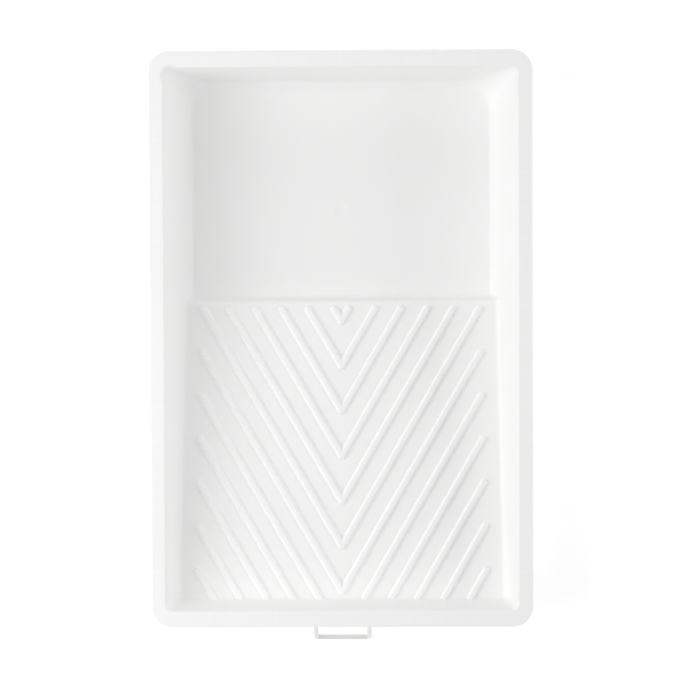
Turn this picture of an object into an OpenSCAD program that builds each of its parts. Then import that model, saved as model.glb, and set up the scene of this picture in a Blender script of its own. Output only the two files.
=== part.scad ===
// Paint roller tray: one moulded tray with a well, a ribbed ramp and a turned-down rim,
// and a bent wire leg that pivots in two lugs under the rim of the shallow end.
// X runs across the tray, +Y towards the deep end, +Z up. The table is at z = 0.

/* [Rim] */
// Overall width, across the lower edge of the skirt
tray_w = 280; // [220:1:340]
// Overall length of the moulded tray, without the leg
tray_l = 420; // [340:1:520]
// Height of the rim's top above the table
rim_h = 64; // [52:1:80]
// Width of the rim's flat top on the long sides, mouth edge to skirt edge
rim_side = 12; // [10:0.5:16]
// Width of the rim's flat top on the two ends
rim_end = 13; // [12:0.5:18]
// Thickness of the rim's top plate
rim_t = 2; // [1.6:0.1:3]
// Plan radius of the tray's outer corners
corner_r = 16; // [12:1:24]
// Plan radius of the mouth's corners
mouth_r = 5.5; // [4:0.5:9]
// Height of the turned-down skirt, from the rim's top
skirt_h = 9; // [8:0.5:10]
// Thickness of the skirt
skirt_t = 1.8; // [1.5:0.1:2.4]
// How far the skirt's lower edge stands out from its upper edge
skirt_flare = 1.6; // [1:0.1:2]
// Small chamfer along the rim's outer edge
rim_edge = 0.8; // [0.4:0.1:1.2]

/* [Well] */
// Wall and floor thickness
wall = 2; // [1.5:0.1:3]
// Distance from the deep end's mouth edge to the foot of the riser
well_l = 167; // [120:1:210]
// Lean of the long walls
side_draft = 11.5; // [6:0.5:14]
// Lean of the deep end wall
deep_draft = 4.5; // [3:0.5:10]
// Lean of the shallow end wall
shallow_draft = 8.8; // [4:0.2:12]
// Fillet between the floor and the long walls
side_fillet = 6; // [3:0.5:9]
// Fillet between the floor and the deep end wall
deep_fillet = 14; // [8:0.5:18]
// Plan radius of the floor's two deep corners
floor_corner_r = 11; // [8:0.5:16]
// Diameter of the shallow round recess left by the mould's gate
gate_d = 11; // [8:0.5:14]
// Depth of the gate recess
gate_depth = 0.4; // [0.2:0.1:0.8]
// Distance from the deep end's mouth edge to the gate recess
gate_y = 101; // [60:1:130]

/* [Ramp] */
// Height of the step from the well's floor up to the ramp
riser_h = 12; // [6:0.5:16]
// Lean of the step's face
riser_draft = 12.5; // [6:0.5:20]
// Height that the ramp climbs towards the shallow end
ramp_rise = 21; // [14:0.5:25]

/* [Ribs] */
// Number of ribs on each side of the centre line
rib_count = 12; // [10:1:16]
// Spacing of the ribs' points along the ramp
rib_pitch = 33.45; // [28:0.05:42]
// Angle between a rib and the tray's long axis
rib_angle = 30.3; // [25:0.1:40]
// Width of a rib at its foot
rib_w = 5.6; // [4.4:0.1:6.4]
// Width of a rib's flat top
rib_top_w = 3.8; // [1:0.1:4.2]
// Height of a rib above the ramp
rib_h = 2.2; // [1.4:0.1:2.8]
// Distance from the ramp's top edge to the first rib's point
rib_first = 14.8; // [12:0.1:22]
// Bare strip between the ramp's top edge and the ribs
rib_top_gap = 3.4; // [3:0.1:8]
// Bare strip between the long walls and the ribs
rib_side_gap = 13.5; // [8:0.5:18]

/* [Gussets] */
// Spacing of the gussets under the rim
gusset_pitch = 24.1; // [18:0.1:34]
// Thickness of a gusset
gusset_t = 1.4; // [1:0.1:2]
// Height of a gusset below the rim's top plate
gusset_h = 6; // [4:0.5:6]

/* [Pouring corner] */
// Radius of the scoop at the rim's top
spout_r = 7; // [5:0.5:8]
// Radius of the scoop at its lower end
spout_tip_r = 2; // [1:0.5:3]
// Depth of the scoop
spout_h = 12; // [8:1:16]
// Distance from the scoop's centre to the two mouth edges
spout_in = 5.6; // [4.5:0.1:6]

/* [Leg] */
// Diameter of the leg's wire
wire_d = 3.6; // [3:0.1:4]
// Distance between the two arms, centre to centre
leg_w = 40; // [32:1:56]
// How far the foot of the leg stands out from the pivot
leg_reach = 22; // [16:0.5:25]
// Radius of the wire's bends, to its centre line
bend_r = 3.3; // [3:0.1:4.5]
// Distance from the rim's top down to the pivot
pivot_drop = 6; // [5.5:0.1:6.5]
// Gap between the leg, resting on its stop, and the skirt's edge
stop_gap = 0.2; // [0.1:0.05:0.4]
// Radial clearance between the wire and its bearing
pivot_gap = 0.05; // [0.03:0.01:0.09]
// How much narrower the bearing's snap-in throat is than the wire
snap_grip = 0.4; // [0.2:0.1:0.8]
// Thickness of a pivot lug
lug_t = 2.4; // [2:0.1:4]
// Side clearance between a lug and the wire's bend
lug_gap = 0.3; // [0.2:0.05:0.6]
// Length of wire that stands out past a lug
pivot_end = 0.9; // [0.6:0.1:2]

/* [Hidden] */
$fn = 32;
skin = 0.01;
cut = 1;
white = "#f4f4f2";
wire_white = "#e6e6e4";

// mouth and floor outlines
mouth_w = tray_w - 2 * rim_side;
mouth_l = tray_l - 2 * rim_end;
depth = rim_h - wall;
floor_x = mouth_w / 2 - depth * tan(side_draft) - side_fillet * tan((90 - side_draft) / 2);
deep_y = mouth_l / 2 - depth * tan(deep_draft) - deep_fillet * tan((90 - deep_draft) / 2);
shallow_y = mouth_l / 2 - depth * tan(shallow_draft) - side_fillet * tan((90 - shallow_draft) / 2);

// step and ramp
riser_foot_y = mouth_l / 2 - well_l;
riser_top_y = riser_foot_y - riser_h * tan(riser_draft);
riser_top_z = wall + riser_h;
ramp_end_z = riser_top_z + ramp_rise;
ramp_end_y = -(mouth_l / 2 - (rim_h - ramp_end_z) * tan(shallow_draft));
ramp_angle = atan(ramp_rise / (riser_top_y - ramp_end_y));

// ribs, measured along the ramp from its top edge
rib_half_w = mouth_w / 2 - (rim_h - riser_top_z) * tan(side_draft) - rib_side_gap;
rib_spread = sin(ramp_angle) * tan(side_draft);

// skirt, gussets and lugs
skirt_z = rim_h - skirt_h;
gusset_z = rim_h - rim_t - gusset_h;
skirt_in = (flare_in(gusset_z) + skirt_t + flare_in(rim_h - rim_t)) / 2;

// leg
pivot_z = rim_h - pivot_drop;
foot_drop = pivot_z - wire_d / 2;
leg_angle = atan(leg_reach / foot_drop);
leg_l = norm([leg_reach, foot_drop]);
pivot_y = -(tray_l / 2 - skirt_t) + (wire_d / 2 + stop_gap) / cos(leg_angle)
    + (pivot_z - skirt_z) * tan(leg_angle);
lug_x = leg_w / 2 + bend_r + lug_gap + lug_t / 2;
foot_y = pivot_y - leg_reach - wire_d / 2;

// the whole part is centred on its length, leg included
centre_y = -(tray_l / 2 + foot_y) / 2;

// Inset of the skirt's outer face at a height, from its lower edge
function flare_in(z) = skirt_flare * (z - skirt_z) / skirt_h;

// Length of a rib whose point lies at a distance along the ramp
function rib_len(point) = min((point - rib_top_gap) / cos(rib_angle),
    (rib_half_w + rib_spread * point) / (1 + rib_spread / tan(rib_angle)) / sin(rib_angle));

// Rectangle with rounded corners, from y0 to y1
module round_rect(w, y0, y1, r) {
    translate([-w / 2 + r, y0]) square([w - 2 * r, y1 - y0]);
    translate([-w / 2, y0 + r]) square([w, y1 - y0 - 2 * r]);
    for (x = [-w / 2 + r, w / 2 - r], y = [y0 + r, y1 - r])
        translate([x, y]) circle(r);
}

// Outline of the rim, inset from the skirt's lower edge
module rim_outline(inset) {
    round_rect(tray_w - 2 * inset, -tray_l / 2 + inset, tray_l / 2 - inset, corner_r - inset);
}

// Full bowl from the floor to a height, grown by a thickness; the ramp is cut from it
module bowl(grow, top_z) {
    rise = top_z - rim_h;
    hull() {
        translate([0, 0, top_z]) linear_extrude(skin)
            round_rect(mouth_w + 2 * (rise * tan(side_draft) + grow / cos(side_draft)),
                -mouth_l / 2 - rise * tan(shallow_draft) - grow / cos(shallow_draft),
                mouth_l / 2 + rise * tan(deep_draft) + grow / cos(deep_draft), mouth_r + grow);
        translate([0, 0, wall - grow]) linear_extrude(skin)
            round_rect(2 * floor_x, -shallow_y, deep_y, floor_corner_r);
        for (side = [-1, 1]) {
            for (turn = [0:15:90]) floor_blend(side, turn, grow);
            translate([side * floor_x, -shallow_y, wall + side_fillet]) sphere(side_fillet + grow);
        }
    }
}

// One ball of the blend that turns the side fillet into the deep end's larger fillet
module floor_blend(side, turn, grow) {
    r = side_fillet + (deep_fillet - side_fillet) * turn / 90;
    translate([side * (floor_x - floor_corner_r * (1 - cos(turn))),
        deep_y - floor_corner_r * (1 - sin(turn)), wall + r]) sphere(r + grow);
}

// Everything under the ramp, lowered by a thickness measured square to its faces
module under_ramp(lower) {
    top_y = riser_top_y - lower * (1 - sin(riser_draft)) / cos(riser_draft);
    top_z = riser_top_z - lower / cos(ramp_angle) + (riser_top_y - top_y) * tan(ramp_angle);
    foot_y = top_y + (top_z + cut) * tan(riser_draft);
    end_y = -tray_l;
    rotate([90, 0, 90]) linear_extrude(2 * tray_w, center = true)
        polygon([[foot_y, -cut], [top_y, top_z],
            [end_y, top_z + (top_y - end_y) * tan(ramp_angle)], [end_y, -cut]]);
}

// Scoop in one corner of the mouth, for pouring paint back; grown by a wall it is the scoop's backing
module spout(grow, up) {
    spread = (spout_r - spout_tip_r) / spout_h;
    translate([-mouth_w / 2 + spout_in, mouth_l / 2 - spout_in, rim_h - spout_h - grow])
        cylinder(h = spout_h + grow + up, r1 = spout_tip_r + grow,
            r2 = spout_tip_r + grow + (spout_h + grow + up) * spread);
}

// Space inside the tray that holds the paint
module paint_space() {
    difference() {
        bowl(0, rim_h + cut);
        under_ramp(0);
    }
    spout(0, cut);
}

// Rim plate with its turned-down skirt
module rim_cap() {
    difference() {
        hull() {
            translate([0, 0, skirt_z]) linear_extrude(skin) rim_outline(0);
            translate([0, 0, rim_h - rim_edge]) linear_extrude(skin) rim_outline(flare_in(rim_h));
            translate([0, 0, rim_h - skin]) linear_extrude(skin) rim_outline(flare_in(rim_h) + rim_edge);
        }
        hull() {
            translate([0, 0, skirt_z - cut]) linear_extrude(skin) rim_outline(skirt_t);
            translate([0, 0, rim_h - rim_t - skin]) linear_extrude(skin)
                rim_outline(skirt_t + flare_in(rim_h - rim_t));
        }
    }
}

// Bars under the rim; the paint space cuts them into gussets
module gussets() {
    side_n = floor((tray_l / 2 - corner_r - gusset_pitch) / gusset_pitch);
    end_n = floor((tray_w / 2 - corner_r) / gusset_pitch) - 1;
    for (k = [-side_n:side_n])
        translate([-tray_w / 2 + skirt_in, k * gusset_pitch - gusset_t / 2, gusset_z])
            cube([tray_w - 2 * skirt_in, gusset_t, gusset_h + rim_t / 2]);
    for (k = [-end_n:end_n]) {
        translate([k * gusset_pitch - gusset_t / 2, 0, gusset_z])
            cube([gusset_t, tray_l / 2 - skirt_in, gusset_h + rim_t / 2]);
        if (abs(abs(k * gusset_pitch) - lug_x) > bend_r + lug_t + pivot_end)
            translate([k * gusset_pitch - gusset_t / 2, -tray_l / 2 + skirt_in, gusset_z])
                cube([gusset_t, tray_l / 2 - skirt_in, gusset_h + rim_t / 2]);
    }
}

// Two lugs under the rim of the shallow end that carry the leg
module lugs() {
    for (side = [-1, 1])
        translate([side * lug_x - lug_t / 2, -tray_l / 2 + skirt_t / 2, skirt_z])
            cube([lug_t, rim_end, rim_h - rim_t / 2 - skirt_z]);
}

// Bearing hole in each lug, open below through a narrower throat
module pivot_slots() {
    throat = wire_d - snap_grip;
    for (side = [-1, 1])
        translate([side * lug_x, pivot_y, pivot_z]) {
            rotate([0, 90, 0]) cylinder(h = lug_t + cut, d = wire_d + 2 * pivot_gap, center = true);
            translate([-(lug_t + cut) / 2, -throat / 2, -pivot_z]) cube([lug_t + cut, throat, pivot_z]);
        }
}

// Ribs right of the centre line, rooted in the ramp's floor
module half_ribs() {
    translate([0, riser_top_y, riser_top_z]) rotate([-ramp_angle, 0, 0]) intersection() {
        for (k = [0:rib_count - 1]) {
            point = rib_first + k * rib_pitch;
            translate([0, -point, 0]) rotate([0, 0, -rib_angle]) rib(rib_len(point));
        }
        translate([0, -tray_l, -wall]) cube([tray_w, tray_l, wall + rib_h + cut]);
    }
}

// One rib along +Y from behind the centre line, flat on top, with its outer end rounded
module rib(len) {
    end = len - rib_w / 2;
    translate([0, end, 0]) rotate([90, 0, 0]) linear_extrude(end + rib_w)
        polygon([[-rib_w / 2, -wall / 2], [rib_w / 2, -wall / 2], [rib_w / 2, 0],
            [rib_top_w / 2, rib_h], [-rib_top_w / 2, rib_h], [-rib_w / 2, 0]]);
    translate([0, end, -wall / 2]) cylinder(h = wall / 2, d = rib_w);
    translate([0, end, 0]) cylinder(h = rib_h, d1 = rib_w, d2 = rib_top_w);
}

// All the ribs, ending inside the shallow end wall
module ribs() {
    intersection() {
        union() {
            half_ribs();
            mirror([1, 0, 0]) half_ribs();
        }
        translate([-tray_w / 2, ramp_end_y - wall / 2, 0]) cube([tray_w, tray_l, rim_h]);
    }
}

// The moulding: well, step, ribbed ramp, walls, rim, skirt, gussets and lugs
module tray_shell() {
    color(white) translate([0, centre_y, 0]) difference() {
        union() {
            difference() {
                union() {
                    difference() {
                        bowl(wall, rim_h - rim_t / 2);
                        under_ramp(wall);
                    }
                    rim_cap();
                    gussets();
                    lugs();
                    spout(wall, -rim_t / 2);
                }
                paint_space();
            }
            ribs();
        }
        pivot_slots();
        translate([0, mouth_l / 2 - gate_y, wall - gate_depth]) cylinder(h = gate_depth + cut, d = gate_d);
    }
}

// Quarter bend of the wire from +Z towards +X, starting at the origin
module bend() {
    translate([bend_r, 0, 0]) rotate([90, 0, 0]) rotate([0, 0, 90]) rotate_extrude(angle = 90)
        translate([bend_r, 0]) circle(d = wire_d);
}

// Half of the leg in its own plane, hanging from the pivot at the origin
module half_leg() {
    translate([leg_w / 2, 0, -leg_l + bend_r]) cylinder(h = leg_l - 2 * bend_r, d = wire_d);
    translate([leg_w / 2, 0, -bend_r]) bend();
    translate([leg_w / 2 + bend_r, 0, 0]) rotate([0, 90, 0])
        cylinder(h = lug_gap + lug_t + pivot_end, d = wire_d);
    translate([leg_w / 2, 0, -leg_l + bend_r]) rotate([0, 180, 0]) bend();
    translate([0, 0, -leg_l]) rotate([0, 90, 0]) cylinder(h = leg_w / 2 - bend_r, d = wire_d);
}

// Bent wire leg, resting on its stop; it also hangs the empty tray on a hook
module leg_loop() {
    color(wire_white) translate([0, centre_y + pivot_y, pivot_z]) rotate([-leg_angle, 0, 0]) {
        half_leg();
        mirror([1, 0, 0]) half_leg();
    }
}

tray_shell();
leg_loop();
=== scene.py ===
"""Looks of the paint roller tray: the moulded tray and its wire leg, on a pale floor in soft studio light."""

from math import atan, atan2, cos, degrees, pi, radians, sin, tan

import bmesh
import bpy
from mathutils import Matrix, Vector


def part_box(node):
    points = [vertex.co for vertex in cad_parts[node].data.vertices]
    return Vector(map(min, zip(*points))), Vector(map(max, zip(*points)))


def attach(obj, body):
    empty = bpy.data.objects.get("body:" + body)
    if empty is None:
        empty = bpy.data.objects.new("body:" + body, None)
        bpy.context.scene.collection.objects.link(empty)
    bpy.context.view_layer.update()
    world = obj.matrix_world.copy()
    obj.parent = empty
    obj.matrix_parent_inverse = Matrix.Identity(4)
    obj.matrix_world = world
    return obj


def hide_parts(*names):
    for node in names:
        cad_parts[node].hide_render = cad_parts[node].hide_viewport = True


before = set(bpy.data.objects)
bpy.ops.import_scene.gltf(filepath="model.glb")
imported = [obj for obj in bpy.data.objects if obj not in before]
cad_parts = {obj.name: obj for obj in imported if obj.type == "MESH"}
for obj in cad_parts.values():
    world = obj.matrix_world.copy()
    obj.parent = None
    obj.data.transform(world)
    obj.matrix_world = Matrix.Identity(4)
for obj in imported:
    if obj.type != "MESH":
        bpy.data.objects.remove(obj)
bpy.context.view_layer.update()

MM = 0.001
NEAR = 0.05 * MM

# ---------------------------------------------------------------- sizes, tray centred on its own rim
tray_low, tray_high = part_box("tray_shell")
HALF_W = (tray_high.x - tray_low.x) / 2
HALF_L = (tray_high.y - tray_low.y) / 2
MID_Y = (tray_high.y + tray_low.y) / 2
RIM_Z = tray_high.z

WALL = 2 * MM
RIM_SIDE = 12 * MM
RIM_END = 13 * MM
CORNER_R = 16 * MM
MOUTH_R = 5.5 * MM
SKIRT_H = 9 * MM
SKIRT_T = 1.8 * MM
SKIRT_Z = RIM_Z - SKIRT_H
SKIRT_FLARE = 1.6 * MM
MOUTH_X = HALF_W - RIM_SIDE
MOUTH_Y = HALF_L - RIM_END

SIDE_DRAFT = radians(11.5)
DEEP_DRAFT = radians(4.5)
SHALLOW_DRAFT = radians(8.8)
DEPTH = RIM_Z - WALL
FOOT_R_DEEP = 19 * MM
FOOT_R_SHALLOW = 3.5 * MM

SIDE_FILLET = 6 * MM
DEEP_FILLET = 14 * MM
RAMP_FILLET = 4.5 * MM
STEP_FILLET = 2.4 * MM
END_FILLET = 1.8 * MM
EDGE_R = 0.9 * MM

WELL_L = 167 * MM
RISER_H = 12 * MM
RISER_DRAFT = radians(12.5)
RAMP_RISE = 21 * MM
STEP_FOOT = Vector((0, MOUTH_Y - WELL_L, WALL))
STEP_TOP = Vector((0, STEP_FOOT.y - RISER_H * tan(RISER_DRAFT), WALL + RISER_H))
RAMP_END_Z = STEP_TOP.z + RAMP_RISE
RAMP_END_Y = -(MOUTH_Y - (RIM_Z - RAMP_END_Z) * tan(SHALLOW_DRAFT))
RAMP_ANGLE = atan(RAMP_RISE / (STEP_TOP.y - RAMP_END_Y))

RIB_COUNT = 12
RIB_PITCH = 33.45 * MM
RIB_ANGLE = radians(30.3)
RIB_W = 5.6 * MM
RIB_TOP_W = 3.8 * MM
RIB_FIRST = 14.8 * MM
RIB_TOP_GAP = 3.4 * MM
RIB_SIDE_GAP = 13.5 * MM
FLANK_R = (RIB_W + RIB_TOP_W) / 4
# height up a rib and how far its side lies outside the middle of the flank, in mm, from foot to flat top
RIB_PROFILE = ((0, 0.9), (0.06, 0.7), (0.25, 0.5), (0.55, 0.33),
               (1.6, -0.35), (1.95, -0.65), (2.13, -1), (2.2, -1.45))
RIB_TIP = 2.8 * MM
TIP_LEAN = radians(35)

GUSSET_PITCH = 24.1 * MM
GUSSET_T = 1.4 * MM
GUSSET_H = 6 * MM

SCOOP_R = 7 * MM
SCOOP_H = 12 * MM
GATE_R = 5.5 * MM
GATE_Y = MOUTH_Y - 101 * MM
GATE_DEPTH = 0.4 * MM

WIRE_R = 1.8 * MM
LEG_W = 40 * MM
BEND_R = 3.3 * MM
LUG_T = 2.4 * MM
LUG_X = LEG_W / 2 + BEND_R + 0.3 * MM + LUG_T / 2
PIVOT_END = 0.9 * MM
THROAT = 3.2 * MM
BORE_R = 1.85 * MM
PIVOT_DROP = 6 * MM
STOP_GAP = 0.2 * MM
LEG_ANGLE = atan(22 * MM / (RIM_Z - PIVOT_DROP - WIRE_R))
LEG_L = (RIM_Z - PIVOT_DROP - WIRE_R) / cos(LEG_ANGLE)
PIVOT = Vector((0, -HALF_L + SKIRT_T + (WIRE_R + STOP_GAP) / cos(LEG_ANGLE)
                + (RIM_Z - PIVOT_DROP - SKIRT_Z) * tan(LEG_ANGLE), RIM_Z - PIVOT_DROP))

TRAY_WHITE = "#fcfcfc"
TRAY_FLOW = "#fafaf9"
# painted highlight: the paler colour put on the rim's sink lines
TRAY_SINK_HIGHLIGHT = "#ffffff"
TRAY_SPECK = "#8f8d88"
WIRE_WHITE = "#ebebea"
WIRE_DULL = "#e4e4e3"
PAPER_WHITE = "#f2f2f2"
PAPER_GLOW = 0.33


# ---------------------------------------------------------------- working by hand, in code
def start(name):
    """Deselect everything and open a new empty mesh object in edit mode."""
    bpy.ops.object.select_all(action="DESELECT")
    piece = bpy.data.objects.new(name, bpy.data.meshes.new(name))
    bpy.context.scene.collection.objects.link(piece)
    bpy.context.view_layer.objects.active = piece
    piece.select_set(True)
    bpy.ops.object.mode_set(mode="EDIT")
    return piece


def done():
    """Close edit mode."""
    bpy.ops.object.mode_set(mode="OBJECT")
    return bpy.context.object


def choose(kind, test):
    """In edit mode, select only the vertices, edges or faces that pass the test."""
    bpy.ops.mesh.select_mode(type=kind)
    bpy.ops.mesh.select_all(action="DESELECT")
    shape = bmesh.from_edit_mesh(bpy.context.object.data)
    items = {"VERT": shape.verts, "EDGE": shape.edges, "FACE": shape.faces}
    for item in items[kind]:
        item.select_set(test(item))
    shape.select_flush_mode()
    bmesh.update_edit_mesh(bpy.context.object.data)


def ends(test):
    """A test for edges and faces: all their corners pass."""
    return lambda item: all(test(v.co) for v in item.verts)


def apply_modifier(piece, kind, **settings):
    """Add a modifier with its settings and apply it."""
    bpy.ops.object.select_all(action="DESELECT")
    piece.select_set(True)
    bpy.context.view_layer.objects.active = piece
    modifier = piece.modifiers.new(kind.title(), kind)
    for key, value in settings.items():
        setattr(modifier, key, value)
    bpy.ops.object.modifier_apply(modifier=modifier.name)


def place(piece, matrix):
    """Move a piece and bake the move into its mesh."""
    bpy.ops.object.select_all(action="DESELECT")
    piece.select_set(True)
    bpy.context.view_layer.objects.active = piece
    piece.matrix_world = matrix
    bpy.ops.object.transform_apply(location=True, rotation=True, scale=True)


def copy_at(piece, matrix):
    """A copy of a piece, with its own mesh, moved."""
    twin = piece.copy()
    twin.data = piece.data.copy()
    bpy.context.scene.collection.objects.link(twin)
    place(twin, matrix)
    return twin


def join(pieces):
    """Join pieces into the first one."""
    bpy.ops.object.select_all(action="DESELECT")
    for piece in pieces:
        piece.select_set(True)
    bpy.context.view_layer.objects.active = pieces[0]
    bpy.ops.object.join()
    return pieces[0]


# ---------------------------------------------------------------- the tray's skin
def ring(half_x, y_low, y_high, z, r_low, r_high):
    """A loop of edges: a rectangle with round corners, r_low at the shallow end, r_high at the deep end."""
    piece = start("ring")
    middle = Vector((0, (y_low + y_high) / 2, z))
    bpy.ops.mesh.primitive_plane_add(size=1, location=middle)
    bpy.ops.transform.resize(value=(2 * half_x, y_high - y_low, 1), center_override=middle)
    choose("VERT", lambda v: v.co.y > middle.y)
    bpy.ops.mesh.bevel(offset=r_high, segments=8, affect="VERTICES")
    choose("VERT", lambda v: v.co.y < y_low + NEAR)
    bpy.ops.mesh.bevel(offset=r_low, segments=8, affect="VERTICES")
    bpy.ops.mesh.select_all(action="SELECT")
    bpy.ops.mesh.delete(type="ONLY_FACE")
    return done()


def on_mouth(co):
    return abs(co.z - RIM_Z) < NEAR and abs(co.x) < MOUTH_X + NEAR and abs(co.y) < MOUTH_Y + NEAR


def on_rim_edge(co):
    return abs(co.z - RIM_Z) < NEAR and not on_mouth(co)


def at_height(z):
    return lambda co: abs(co.z - z) < NEAR


def bridge(test):
    choose("EDGE", ends(test))
    bpy.ops.mesh.bridge_edge_loops()


def make_skin():
    """The tray's upper surface: floor, walls, rim and skirt, with the ramp cut in, without thickness."""
    floor = ring(MOUTH_X - DEPTH * tan(SIDE_DRAFT), -MOUTH_Y + DEPTH * tan(SHALLOW_DRAFT),
                 MOUTH_Y - DEPTH * tan(DEEP_DRAFT), WALL, FOOT_R_SHALLOW, FOOT_R_DEEP)
    mouth = ring(MOUTH_X, -MOUTH_Y, MOUTH_Y, RIM_Z, MOUTH_R, MOUTH_R)
    top = HALF_L - SKIRT_FLARE
    rim = ring(HALF_W - SKIRT_FLARE, -top, top, RIM_Z, CORNER_R - SKIRT_FLARE, CORNER_R - SKIRT_FLARE)
    skirt = ring(HALF_W, -HALF_L, HALF_L, RIM_Z - SKIRT_H, CORNER_R, CORNER_R)
    skin = join([floor, mouth, rim, skirt])
    bpy.ops.object.mode_set(mode="EDIT")
    bridge(at_height(RIM_Z))
    bridge(lambda co: at_height(WALL)(co) or on_mouth(co))
    bridge(lambda co: on_rim_edge(co) or at_height(RIM_Z - SKIRT_H)(co))
    choose("EDGE", ends(at_height(WALL)))
    bpy.ops.mesh.edge_face_add()
    cut_ramp()
    shape_scoop()
    bpy.ops.mesh.select_all(action="SELECT")
    bpy.ops.mesh.normals_make_consistent(inside=False)
    shape = bmesh.from_edit_mesh(skin.data)
    if max(shape.faces, key=lambda f: f.calc_area()).normal.z < 0:
        bpy.ops.mesh.flip_normals()
    done()
    skin.name = "tray"
    return skin


def above_ramp(co):
    """Height of a point over the ramp's plane."""
    return co.z - STEP_TOP.z - (STEP_TOP.y - co.y) * tan(RAMP_ANGLE)


def past_step(co):
    """Distance of a point behind the step's face, towards the shallow end."""
    return (STEP_FOOT.y - co.y) * cos(RISER_DRAFT) - (co.z - WALL) * sin(RISER_DRAFT)


def inside_mouth(item):
    """True for the faces of the walls and the floor."""
    middle = item.calc_center_median()
    if middle.z < WALL + NEAR:
        return True
    within = all(abs(v.co.x) < MOUTH_X + NEAR and abs(v.co.y) < MOUTH_Y + NEAR for v in item.verts)
    return within and abs(item.normal.z) < 0.999 and middle.z < RIM_Z - NEAR


def cut_ramp():
    """Cut walls and floor along the step and the ramp, drop what lies below and face the two new planes."""
    choose("FACE", inside_mouth)
    bpy.ops.mesh.bisect(plane_co=STEP_TOP, plane_no=(0, cos(RISER_DRAFT), sin(RISER_DRAFT)))
    choose("FACE", lambda f: inside_mouth(f) and past_step(f.calc_center_median()) > NEAR)
    bpy.ops.mesh.bisect(plane_co=STEP_TOP, plane_no=(0, sin(RAMP_ANGLE), cos(RAMP_ANGLE)))
    choose("FACE", lambda f: past_step(f.calc_center_median()) > NEAR
           and above_ramp(f.calc_center_median()) < -NEAR)
    bpy.ops.mesh.delete(type="FACE")
    choose("VERT", lambda v: abs(past_step(v.co)) < NEAR and abs(above_ramp(v.co)) < NEAR)
    bpy.ops.mesh.edge_face_add()
    choose("VERT", lambda v: abs(past_step(v.co)) < NEAR and above_ramp(v.co) < NEAR)
    bpy.ops.mesh.edge_face_add()
    choose("VERT", lambda v: abs(above_ramp(v.co)) < NEAR and past_step(v.co) > -NEAR)
    bpy.ops.mesh.edge_face_add()
    choose("EDGE", lambda e: all(abs(past_step(v.co)) < NEAR and above_ramp(v.co) > -NEAR for v in e.verts)
           and any(above_ramp(v.co) > MM for v in e.verts))
    bpy.ops.mesh.dissolve_edges(use_verts=True)


def shape_scoop():
    """Swell the mouth's deep left corner into the round pouring scoop, down to the scoop's depth."""
    centre = Vector((-MOUTH_X + MOUTH_R, MOUTH_Y - MOUTH_R, RIM_Z))
    low = RIM_Z - SCOOP_H
    reach = (SCOOP_R ** 2 - MOUTH_R ** 2) ** 0.5 + 0.6 * MM

    def left_or_deep(f):
        middle = f.calc_center_median()
        return middle.x < NEAR and middle.y > 0 and (middle.x < -0.85 * MOUTH_X or middle.y > 0.9 * MOUTH_Y)

    def left_of_wall(f):
        middle = f.calc_center_median()
        return (middle.z > low and middle.x < -0.85 * MOUTH_X and abs(middle.y) < 0.96 * MOUTH_Y
                and min(v.co.x for v in f.verts) > -HALF_W + SKIRT_FLARE - NEAR)

    def deep_of_wall(f):
        middle = f.calc_center_median()
        return (middle.z > low and middle.y > 0.9 * MOUTH_Y and abs(middle.x) < 0.94 * MOUTH_X
                and max(v.co.y for v in f.verts) < HALF_L - SKIRT_FLARE + NEAR)

    choose("FACE", lambda f: inside_mouth(f) and left_or_deep(f))
    bpy.ops.mesh.bisect(plane_co=centre - Vector((0, 0, SCOOP_H)), plane_no=(0, 0, 1))
    for cut in (reach, reach / 2):
        choose("FACE", left_of_wall)
        bpy.ops.mesh.bisect(plane_co=centre - Vector((0, cut, 0)), plane_no=(0, 1, 0))
        choose("FACE", deep_of_wall)
        bpy.ops.mesh.bisect(plane_co=centre + Vector((cut, 0, 0)), plane_no=(1, 0, 0))
    for old_radius in (MOUTH_R, (MOUTH_R ** 2 + reach ** 2 / 4) ** 0.5):
        choose("VERT", lambda v: on_mouth(v.co) and abs((v.co - centre).length - old_radius) < NEAR)
        grow = SCOOP_R / old_radius
        bpy.ops.transform.resize(value=(grow, grow, 1), center_override=centre)

    def scoop_side(e):
        heights = [v.co.z for v in e.verts]
        if max(heights) < RIM_Z - NEAR or min(heights) > low + NEAR:
            return False
        on_left = all(abs(v.co.y - centre.y + reach) < NEAR and v.co.x < centre.x for v in e.verts)
        on_deep = all(abs(v.co.x - centre.x - reach) < NEAR and v.co.y > centre.y for v in e.verts)
        return on_left or on_deep

    choose("EDGE", scoop_side)
    bpy.ops.mesh.bevel(offset=1.6 * MM, segments=4, affect="EDGES")


def fillet_of(a, b):
    """Width of the fillet along an edge of the skin, from where the edge lies; 0 where there is none."""
    turn = degrees(atan2(abs(b.x - a.x), abs(b.y - a.y))) / 90
    side = SIDE_FILLET * tan((pi / 2 - SIDE_DRAFT) / 2)
    deep = DEEP_FILLET * tan((pi / 2 - DEEP_DRAFT) / 2)
    if at_height(WALL)(a) and at_height(WALL)(b):
        return STEP_FILLET if past_step(a) > -NEAR and past_step(b) > -NEAR else side + (deep - side) * turn
    if abs(past_step(a)) < NEAR and abs(past_step(b)) < NEAR:
        return STEP_FILLET if turn > 0.5 else RAMP_FILLET
    if abs(above_ramp(a)) < NEAR and abs(above_ramp(b)) < NEAR and a.z > WALL + NEAR and b.z > WALL + NEAR:
        return RAMP_FILLET + (END_FILLET - RAMP_FILLET) * turn
    return 0


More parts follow.
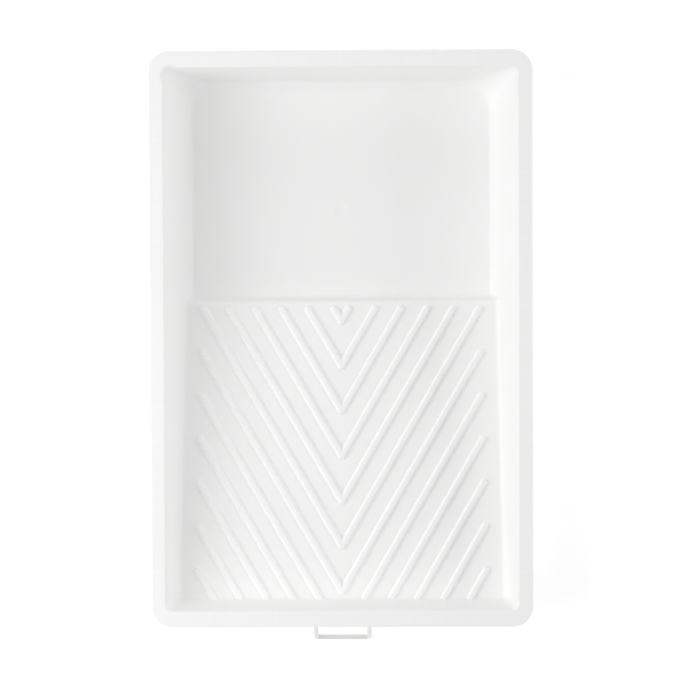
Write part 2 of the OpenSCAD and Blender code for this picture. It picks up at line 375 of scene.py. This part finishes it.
def fillet_skin(skin):
    """Round the inner edges, each by its own width."""
    mesh = skin.data
    widths = [fillet_of(mesh.vertices[e.vertices[0]].co, mesh.vertices[e.vertices[1]].co) for e in mesh.edges]
    widest = max(widths)
    weights = mesh.attributes.new("bevel_weight_edge", "FLOAT", "EDGE")
    weights.data.foreach_set("value", [w / widest for w in widths])
    apply_modifier(skin, "BEVEL", limit_method="WEIGHT", width=widest, segments=6, use_clamp_overlap=False)
    mesh.attributes.remove(mesh.attributes["bevel_weight_edge"])


def round_rim(skin):
    """Give the skin its thickness, then round the mouth's edge and the rim's edge."""
    apply_modifier(skin, "SOLIDIFY", thickness=WALL, offset=-1, use_even_offset=True,
                   use_quality_normals=True)
    bpy.ops.object.mode_set(mode="EDIT")
    choose("EDGE", lambda e: len(e.link_faces) == 2 and all(abs(v.co.z - RIM_Z) < NEAR for v in e.verts)
           and e.calc_face_angle(0) > radians(20))
    bpy.ops.mesh.bevel(offset=EDGE_R, segments=3, affect="EDGES", clamp_overlap=True)
    done()


# ---------------------------------------------------------------- ribs
def ramp_matrix():
    """From the ramp's own plane, with its top edge at y = 0, to the tray."""
    return Matrix.Translation(STEP_TOP) @ Matrix.Rotation(-RAMP_ANGLE, 4, "X")


def rib_length(point):
    """Length of the rib whose point lies this far down the ramp, up to the bare strips along its edges."""
    half = MOUTH_X - (RIM_Z - STEP_TOP.z) * tan(SIDE_DRAFT) - RIB_SIDE_GAP
    spread = sin(RAMP_ANGLE) * tan(SIDE_DRAFT)
    to_side = (half + spread * point) / (1 + spread / tan(RIB_ANGLE)) / sin(RIB_ANGLE)
    return min((point - RIB_TOP_GAP) / cos(RIB_ANGLE), to_side)


def make_rib(point):
    """One rib right of the centre line: a round button, cut in half, drawn out and mitred on that line."""
    rib = start("rib")
    height = -0.6 * WALL
    radius = FLANK_R + RIB_PROFILE[0][1] * MM
    bpy.ops.mesh.primitive_circle_add(vertices=32, radius=radius, fill_type="NGON", location=(0, 0, height))
    middle = Vector((0, 0, 0))
    for rise, outward in RIB_PROFILE:
        bpy.ops.mesh.extrude_region_move(TRANSFORM_OT_translate={"value": (0, 0, rise * MM - height)})
        factor = (FLANK_R + outward * MM) / radius
        bpy.ops.transform.resize(value=(factor, factor, 1), center_override=middle)
        height = rise * MM
        radius = FLANK_R + outward * MM
    bpy.ops.mesh.select_all(action="SELECT")
    bpy.ops.mesh.bisect(plane_co=middle, plane_no=(0, 1, 0), clear_inner=True)
    choose("EDGE", ends(lambda co: abs(co.y) < NEAR))
    reach = rib_length(point) - RIB_W / 2
    bpy.ops.mesh.extrude_edges_move(TRANSFORM_OT_translate={"value": (0, -reach - 2 * RIB_W, 0)})
    done()
    turn = Matrix.Rotation(-RIB_ANGLE, 4, "Z")
    on_ramp = ramp_matrix() @ Matrix.Translation((0, -point, 0))
    place(rib, on_ramp @ turn @ Matrix.Translation((0, reach, 0)))
    tip = on_ramp @ Vector((0, -RIB_TIP, 0))
    tip_normal = on_ramp.to_3x3() @ Vector((0, cos(TIP_LEAN), -sin(TIP_LEAN)))
    end = Vector((0, RAMP_END_Y - WALL / 2, 0))
    bpy.ops.object.mode_set(mode="EDIT")
    for plane, normal in ((middle, (1, 0, 0)), (tip, tip_normal), (end, (0, 1, 0))):
        bpy.ops.mesh.select_all(action="SELECT")
        bpy.ops.mesh.bisect(plane_co=plane, plane_no=normal, clear_inner=True, use_fill=True)
    bpy.ops.mesh.select_all(action="SELECT")
    bpy.ops.mesh.normals_make_consistent(inside=False)
    return done()


def make_ribs():
    """All the ribs of both sides."""
    right = join([make_rib(RIB_FIRST + k * RIB_PITCH) for k in range(RIB_COUNT)])
    left = copy_at(right, Matrix.Scale(-1, 4, (1, 0, 0)))
    bpy.ops.object.mode_set(mode="EDIT")
    bpy.ops.mesh.select_all(action="SELECT")
    bpy.ops.mesh.flip_normals()
    done()
    return join([right, left])


# ---------------------------------------------------------------- gussets and lugs
def make_bar(name, size, middle):
    """A small moulded bar with softened edges."""
    bar = start(name)
    bpy.ops.mesh.primitive_cube_add(size=1, location=middle)
    bpy.ops.transform.resize(value=size, center_override=middle)
    bpy.ops.mesh.bevel(offset=0.2 * MM, segments=2, affect="EDGES")
    return done()


def make_gussets():
    """Gussets between the walls and the skirt, one pattern on the long sides and one on the ends."""
    low = RIM_Z - WALL - GUSSET_H
    height = GUSSET_H + WALL / 2
    bars = []
    side_n = int((HALF_L - CORNER_R - GUSSET_PITCH) / GUSSET_PITCH)
    end_n = int((HALF_W - CORNER_R) / GUSSET_PITCH) - 1
    inner = MOUTH_X + WALL / 2 - (RIM_Z - low - GUSSET_H / 2) * tan(SIDE_DRAFT)
    outer = HALF_W - WALL / 2 - SKIRT_FLARE / 2
    side = make_bar("gusset", (outer - inner, GUSSET_T, height),
                    Vector(((inner + outer) / 2, 0, low + height / 2)))
    for k in range(-side_n, side_n + 1):
        shift = Matrix.Translation((0, k * GUSSET_PITCH, 0))
        if k:
            bars.append(copy_at(side, shift))
        bars.append(copy_at(side, shift @ Matrix.Rotation(pi, 4, "Z")))
    inner = MOUTH_Y + WALL / 2 - (RIM_Z - low - GUSSET_H / 2) * tan(DEEP_DRAFT)
    outer = HALF_L - WALL / 2 - SKIRT_FLARE / 2
    end = make_bar("gusset", (GUSSET_T, outer - inner, height),
                   Vector((0, (inner + outer) / 2, low + height / 2)))
    for k in range(-end_n, end_n + 1):
        shift = Matrix.Translation((k * GUSSET_PITCH, 0, 0))
        if k:
            bars.append(copy_at(end, shift))
        if abs(abs(k * GUSSET_PITCH) - LUG_X) > BEND_R + LUG_T + PIVOT_END:
            bars.append(copy_at(end, shift @ Matrix.Rotation(pi, 4, "Z")))
    return join([side, end] + bars)


def cut_away(piece, cutter):
    """Cut one piece with another, which is used up."""
    apply_modifier(piece, "BOOLEAN", operation="DIFFERENCE", object=cutter, solver="EXACT")
    bpy.data.objects.remove(cutter)


def press_gate_mark(skin):
    """The shallow round dish over the moulding gate, in the middle of the well."""
    cutter = start("cutter")
    height = WALL - GATE_DEPTH
    radius = 1.5 * MM
    middle = Vector((0, GATE_Y, 0))
    bpy.ops.mesh.primitive_circle_add(vertices=48, radius=radius, fill_type="NGON",
                                      location=middle + Vector((0, 0, height)))
    profile = [(0.02, 2.6), (0.1, 3.4), (0.25, 4.4), (0.37, 5.2), (0.4, GATE_R / MM), (0.6, GATE_R / MM + 1)]
    for rise, next_radius in profile:
        next_height = WALL - GATE_DEPTH + rise * MM
        bpy.ops.mesh.extrude_region_move(TRANSFORM_OT_translate={"value": (0, 0, next_height - height)})
        factor = next_radius * MM / radius
        bpy.ops.transform.resize(value=(factor, factor, 1), center_override=middle)
        height = next_height
        radius = next_radius * MM
    bpy.ops.mesh.select_all(action="SELECT")
    bpy.ops.mesh.normals_make_consistent(inside=False)
    done()
    cut_away(skin, cutter)


def make_lugs():
    """The two lugs that carry the leg: a plate with a bearing bore, open below through a narrower throat."""
    size = Vector((LUG_T, RIM_END - 1.2 * MM, RIM_Z - WALL / 2 - SKIRT_Z))
    middle = Vector((LUG_X, -HALF_L + SKIRT_T / 2 + size.y / 2, SKIRT_Z + size.z / 2))
    lug = make_bar("lug", size, middle)
    bore = start("cutter")
    bpy.ops.mesh.primitive_cylinder_add(vertices=48, radius=BORE_R, depth=2 * LUG_T, rotation=(0, pi / 2, 0),
                                        location=PIVOT + Vector((LUG_X, 0, 0)))
    done()
    cut_away(lug, bore)
    slot = start("cutter")
    foot = PIVOT + Vector((LUG_X, 0, -PIVOT_DROP))
    bpy.ops.mesh.primitive_cube_add(size=1, location=foot)
    bpy.ops.transform.resize(value=(2 * LUG_T, THROAT, 2 * PIVOT_DROP), center_override=foot)
    done()
    cut_away(lug, slot)
    other = copy_at(lug, Matrix.Translation((-2 * LUG_X, 0, 0)))
    return join([lug, other])


# ---------------------------------------------------------------- the wire leg
def make_leg():
    """The bent wire leg: one side drawn along its path in its own plane, then mirrored; it is leant on its
    stop where it is placed.
    """
    leg = start("leg")
    end = LUG_X + LUG_T / 2 + PIVOT_END
    bpy.ops.mesh.primitive_circle_add(vertices=24, radius=WIRE_R - 0.5 * MM, fill_type="NGON",
                                      location=(end, 0, 0), rotation=(0, pi / 2, 0))
    middle = Vector((0, 0, 0))
    radius = WIRE_R - 0.5 * MM
    for inset, next_radius in ((0.08, WIRE_R - 0.22 * MM), (0.14, WIRE_R - 0.06 * MM), (0.28, WIRE_R)):
        bpy.ops.mesh.extrude_region_move(TRANSFORM_OT_translate={"value": (-inset * MM, 0, 0)})
        factor = next_radius / radius
        bpy.ops.transform.resize(value=(1, factor, factor), center_override=middle)
        radius = next_radius
    straight = end - 0.5 * MM - LEG_W / 2 - BEND_R
    bpy.ops.mesh.extrude_region_move(TRANSFORM_OT_translate={"value": (-straight, 0, 0)})
    bpy.ops.mesh.spin(steps=10, angle=pi / 2, axis=(0, 1, 0), center=(LEG_W / 2 + BEND_R, 0, -BEND_R))
    bpy.ops.mesh.extrude_region_move(TRANSFORM_OT_translate={"value": (0, 0, 2 * BEND_R - LEG_L)})
    bpy.ops.mesh.spin(steps=10, angle=-pi / 2, axis=(0, 1, 0), center=(LEG_W / 2 - BEND_R, 0, BEND_R - LEG_L))
    bpy.ops.mesh.extrude_region_move(TRANSFORM_OT_translate={"value": (BEND_R - LEG_W / 2, 0, 0)})
    bpy.ops.mesh.delete(type="FACE")
    done()
    other = copy_at(leg, Matrix.Scale(-1, 4, (1, 0, 0)))
    join([leg, other])
    bpy.ops.object.mode_set(mode="EDIT")
    bpy.ops.mesh.select_all(action="SELECT")
    bpy.ops.mesh.remove_doubles(threshold=NEAR)
    bpy.ops.mesh.normals_make_consistent(inside=False)
    done()
    leg.name = "wire_leg"
    return leg


skin = make_skin()
fillet_skin(skin)
round_rim(skin)
press_gate_mark(skin)
tray = join([skin, make_ribs(), make_gussets(), make_lugs()])
place(tray, Matrix.Translation((0, MID_Y, 0)))
bpy.ops.object.shade_smooth_by_angle(angle=radians(40))
apply_modifier(tray, "WEIGHTED_NORMAL", keep_sharp=True, weight=80)
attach(tray, "tray")
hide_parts("tray_shell")

leg = make_leg()
place(leg, Matrix.Translation(PIVOT + Vector((0, MID_Y, 0))) @ Matrix.Rotation(-LEG_ANGLE, 4, "X"))
bpy.ops.object.shade_smooth_by_angle(angle=radians(40))
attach(leg, "leg")
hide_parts("leg_loop")


# ---------------------------------------------------------------- materials
def colour(hex_code):
    """sRGB hex colour as a linear colour."""
    channels = [int(hex_code[i:i + 2], 16) / 255 for i in (1, 3, 5)]
    return [c / 12.92 if c <= 0.04045 else ((c + 0.055) / 1.055) ** 2.4 for c in channels] + [1]


def new_material(name):
    """An empty material with its shader."""
    material = bpy.data.materials.new(name)
    material.use_nodes = True
    return material, material.node_tree.nodes["Principled BSDF"]


def add_node(material, kind, settings, inputs):
    """Add a node with its settings; each input is given a value, or another node's output to follow."""
    tree = material.node_tree
    node = tree.nodes.new(kind)
    for key, value in settings.items():
        setattr(node, key, value)
    for key, value in inputs.items():
        if isinstance(value, bpy.types.NodeSocket):
            tree.links.new(value, node.inputs[key])
        else:
            node.inputs[key].default_value = value
    return node


def moulded_polypropylene():
    """White polypropylene, injection moulded in a fine eroded tool: a soft satin sheen, broad faint flow
    tones, a painted highlight along the rim's sink lines over the gussets, and a rare tiny speck of burnt
    resin."""
    material, shader = new_material("moulded_polypropylene")
    shader.inputs["IOR"].default_value = 1.49
    place_on = add_node(material, "ShaderNodeTexCoord", {}, {})
    centred = add_node(material, "ShaderNodeMapping", {}, {
        "Vector": place_on.outputs["Object"], "Location": (0, -MID_Y, 0)})
    axes = add_node(material, "ShaderNodeSeparateXYZ", {}, {0: centred.outputs[0]})

    # flow tones about 45 mm across
    flow = add_node(material, "ShaderNodeTexNoise", {}, {
        "Vector": centred.outputs[0], "Scale": 1 / (45 * MM), "Detail": 3, "Roughness": 0.55})
    tone = add_node(material, "ShaderNodeMix", {"data_type": "RGBA"}, {
        "Factor": flow.outputs["Fac"], 6: colour(TRAY_WHITE), 7: colour(TRAY_FLOW)})

    # sink lines on the rim's top over the gussets and lugs, full within 0.3 mm of the middle, gone at 1.6 mm:
    # a painted highlight, a paler colour standing in for how light catches these real shallow dents, which
    # the mesh does not have
    sink_highlights = []
    for along, across, inner, last in (("Y", "X", MOUTH_X, 7), ("X", "Y", MOUTH_Y, 4)):
        near = add_node(material, "ShaderNodeMath", {"operation": "PINGPONG"}, {
            0: axes.outputs[along], 1: GUSSET_PITCH / 2})
        line = add_node(material, "ShaderNodeMapRange", {"interpolation_type": "SMOOTHSTEP"}, {
            "Value": near.outputs[0], "From Min": 0.3 * MM, "From Max": 1.6 * MM, "To Min": 1, "To Max": 0})
        off = add_node(material, "ShaderNodeMath", {"operation": "ABSOLUTE"}, {0: axes.outputs[across]})
        on_rim = add_node(material, "ShaderNodeMath", {"operation": "GREATER_THAN"}, {
            0: off.outputs[0], 1: inner + EDGE_R})
        far = add_node(material, "ShaderNodeMath", {"operation": "ABSOLUTE"}, {0: axes.outputs[along]})
        in_row = add_node(material, "ShaderNodeMath", {"operation": "LESS_THAN"}, {
            0: far.outputs[0], 1: (last + 0.5) * GUSSET_PITCH})
        both = add_node(material, "ShaderNodeMath", {"operation": "MULTIPLY"}, {
            0: on_rim.outputs[0], 1: in_row.outputs[0]})
        sink_highlights.append(add_node(material, "ShaderNodeMath", {"operation": "MULTIPLY"}, {
            0: line.outputs[0], 1: both.outputs[0]}))
    sink_highlight = add_node(material, "ShaderNodeMath", {"operation": "MAXIMUM"}, {
        0: sink_highlights[0].outputs[0], 1: sink_highlights[1].outputs[0]})
    top = add_node(material, "ShaderNodeMath", {"operation": "GREATER_THAN"}, {
        0: axes.outputs["Z"], 1: RIM_Z - 0.4 * MM})
    sink_highlight_on_rim = add_node(material, "ShaderNodeMath", {"operation": "MULTIPLY"}, {
        0: sink_highlight.outputs[0], 1: top.outputs[0]})
    faint = add_node(material, "ShaderNodeMath", {"operation": "MULTIPLY"}, {0: sink_highlight_on_rim.outputs[0], 1: 0.35})
    # the paler colour mixed in here is a painted highlight on the sink lines
    highlighted = add_node(material, "ShaderNodeMix", {"data_type": "RGBA"}, {
        "Factor": faint.outputs[0], 6: tone.outputs[2], 7: colour(TRAY_SINK_HIGHLIGHT)})

    # burnt specks, about 0.7 mm across, one or two on the whole tray
    cells = add_node(material, "ShaderNodeTexVoronoi", {}, {
        "Vector": centred.outputs[0], "Scale": 1 / (24 * MM)})
    dot = add_node(material, "ShaderNodeMapRange", {"interpolation_type": "SMOOTHSTEP"}, {
        "Value": cells.outputs["Distance"],
        "From Min": 0.2 / 24, "From Max": 0.5 / 24, "To Min": 1, "To Max": 0})
    pick = add_node(material, "ShaderNodeSeparateColor", {}, {0: cells.outputs["Color"]})
    rare = add_node(material, "ShaderNodeMath", {"operation": "GREATER_THAN"}, {0: pick.outputs[0], 1: 0.88})
    speck = add_node(material, "ShaderNodeMath", {"operation": "MULTIPLY"}, {
        0: dot.outputs[0], 1: rare.outputs[0]})
    pale = add_node(material, "ShaderNodeMath", {"operation": "MULTIPLY"}, {0: speck.outputs[0], 1: 0.5})
    specked = add_node(material, "ShaderNodeMix", {"data_type": "RGBA"}, {
        "Factor": pale.outputs[0], 6: highlighted.outputs[2], 7: colour(TRAY_SPECK)})
    material.node_tree.links.new(specked.outputs[2], shader.inputs["Base Color"])

    # the tool's eroded grain, 0.6 mm pits drawn a little coarse so that they show, over a slow 9 mm ripple
    grain = add_node(material, "ShaderNodeTexNoise", {}, {
        "Vector": centred.outputs[0], "Scale": 1 / (0.6 * MM), "Detail": 2, "Roughness": 0.5})
    fine = add_node(material, "ShaderNodeBump", {}, {
        "Height": grain.outputs["Fac"], "Strength": 0.1, "Distance": 0.03 * MM})
    ripple = add_node(material, "ShaderNodeTexNoise", {}, {
        "Vector": centred.outputs[0], "Scale": 1 / (9 * MM), "Detail": 1})
    slow = add_node(material, "ShaderNodeBump", {}, {
        "Height": ripple.outputs["Fac"], "Strength": 0.1, "Distance": 0.06 * MM, "Normal": fine.outputs[0]})
    material.node_tree.links.new(slow.outputs[0], shader.inputs["Normal"])
    shine = add_node(material, "ShaderNodeMapRange", {}, {
        "Value": ripple.outputs["Fac"], "From Min": 0.3, "From Max": 0.7, "To Min": 0.38, "To Max": 0.48})
    material.node_tree.links.new(shine.outputs[0], shader.inputs["Roughness"])
    return material


def dipped_wire():
    """Steel wire dipped in white PVC: a duller white with the soft orange peel of a thick coating."""
    material, shader = new_material("pvc_dipped_wire")
    shader.inputs["IOR"].default_value = 1.53
    place_on = add_node(material, "ShaderNodeTexCoord", {}, {})
    # orange peel about 1.4 mm across, which also changes the shine
    peel = add_node(material, "ShaderNodeTexNoise", {}, {
        "Vector": place_on.outputs["Object"], "Scale": 1 / (1.4 * MM), "Detail": 2, "Roughness": 0.5})
    raised = add_node(material, "ShaderNodeBump", {}, {
        "Height": peel.outputs["Fac"], "Strength": 0.4, "Distance": 0.06 * MM})
    material.node_tree.links.new(raised.outputs[0], shader.inputs["Normal"])
    shine = add_node(material, "ShaderNodeMapRange", {}, {
        "Value": peel.outputs["Fac"], "From Min": 0.3, "From Max": 0.7, "To Min": 0.3, "To Max": 0.42})
    material.node_tree.links.new(shine.outputs[0], shader.inputs["Roughness"])
    # runs of thicker and thinner coating about 12 mm long
    runs = add_node(material, "ShaderNodeTexNoise", {}, {
        "Vector": place_on.outputs["Object"], "Scale": 1 / (12 * MM), "Detail": 2})
    tone = add_node(material, "ShaderNodeMix", {"data_type": "RGBA"}, {
        "Factor": runs.outputs["Fac"], 6: colour(WIRE_WHITE), 7: colour(WIRE_DULL)})
    material.node_tree.links.new(tone.outputs[2], shader.inputs["Base Color"])
    return material


def cover(piece, material):
    """Give a piece its one material."""
    piece.data.materials.clear()
    piece.data.materials.append(material)


cover(tray, moulded_polypropylene())
cover(leg, dipped_wire())


# ---------------------------------------------------------------- floor, light and camera
def backdrop_paper():
    """Matt white paper, lit from behind as on a light table, so that only a faint shadow stays on it."""
    material, shader = new_material("white_paper")
    shader.inputs["Base Color"].default_value = colour(PAPER_WHITE)
    shader.inputs["Roughness"].default_value = 0.9
    shader.inputs["Emission Color"].default_value = (1, 1, 1, 1)
    shader.inputs["Emission Strength"].default_value = PAPER_GLOW
    return material


def softbox(name, place_at, size, power):
    """A square soft light that faces the tray."""
    light = bpy.data.lights.new(name, "AREA")
    light.size = size
    light.energy = power
    lamp = bpy.data.objects.new(name, light)
    bpy.context.scene.collection.objects.link(lamp)
    lamp.location = place_at
    lamp.rotation_euler = (Vector(place_at) - Vector((0, 0, 0.03))).to_track_quat("Z", "Y").to_euler()
    lamp.visible_camera = False


bpy.ops.object.select_all(action="DESELECT")
bpy.ops.mesh.primitive_plane_add(size=8, location=(0, 0, -0.3 * MM))
floor = bpy.context.object
floor.name = "floor"
cover(floor, backdrop_paper())

scene = bpy.context.scene
scene.world = bpy.data.worlds.new("white_tent")
scene.world.use_nodes = True
tent = scene.world.node_tree.nodes["Background"]
tent.inputs["Color"].default_value = (1, 1, 1, 1)
tent.inputs["Strength"].default_value = 0.52
scene.view_settings.view_transform = "Standard"
softbox("left_near", (-0.75, -0.1, 0.45), 0.5, 1.5)
softbox("left_high", (-0.5, -0.1, 0.9), 0.5, 0.9)
softbox("left_far", (-1.41, 0, 1.3), 1.1, 6.3)
softbox("right_far", (1.79, 0, 0.68), 1.1, 9)
softbox("front_low", (0, -1.1, 0.3), 0.45, 0.6)
softbox("back_far", (0, 1.79, 0.68), 1.1, 2.2)
softbox("back_near", (0, 0.95, 0.55), 0.5, 0.5)

camera = bpy.data.objects.new("camera", bpy.data.cameras.new("camera"))
scene.collection.objects.link(camera)
camera.data.lens = 103.5
camera.location = (13.9 * MM, 40.1 * MM + MID_Y, RIM_Z + 1405.9 * MM)
tilt = Matrix.Rotation(radians(0.641), 4, "Y") @ Matrix.Rotation(radians(-1.591), 4, "X")
camera.rotation_euler = (tilt @ Matrix.Rotation(radians(-0.244), 4, "Z")).to_euler()
scene.camera = camera
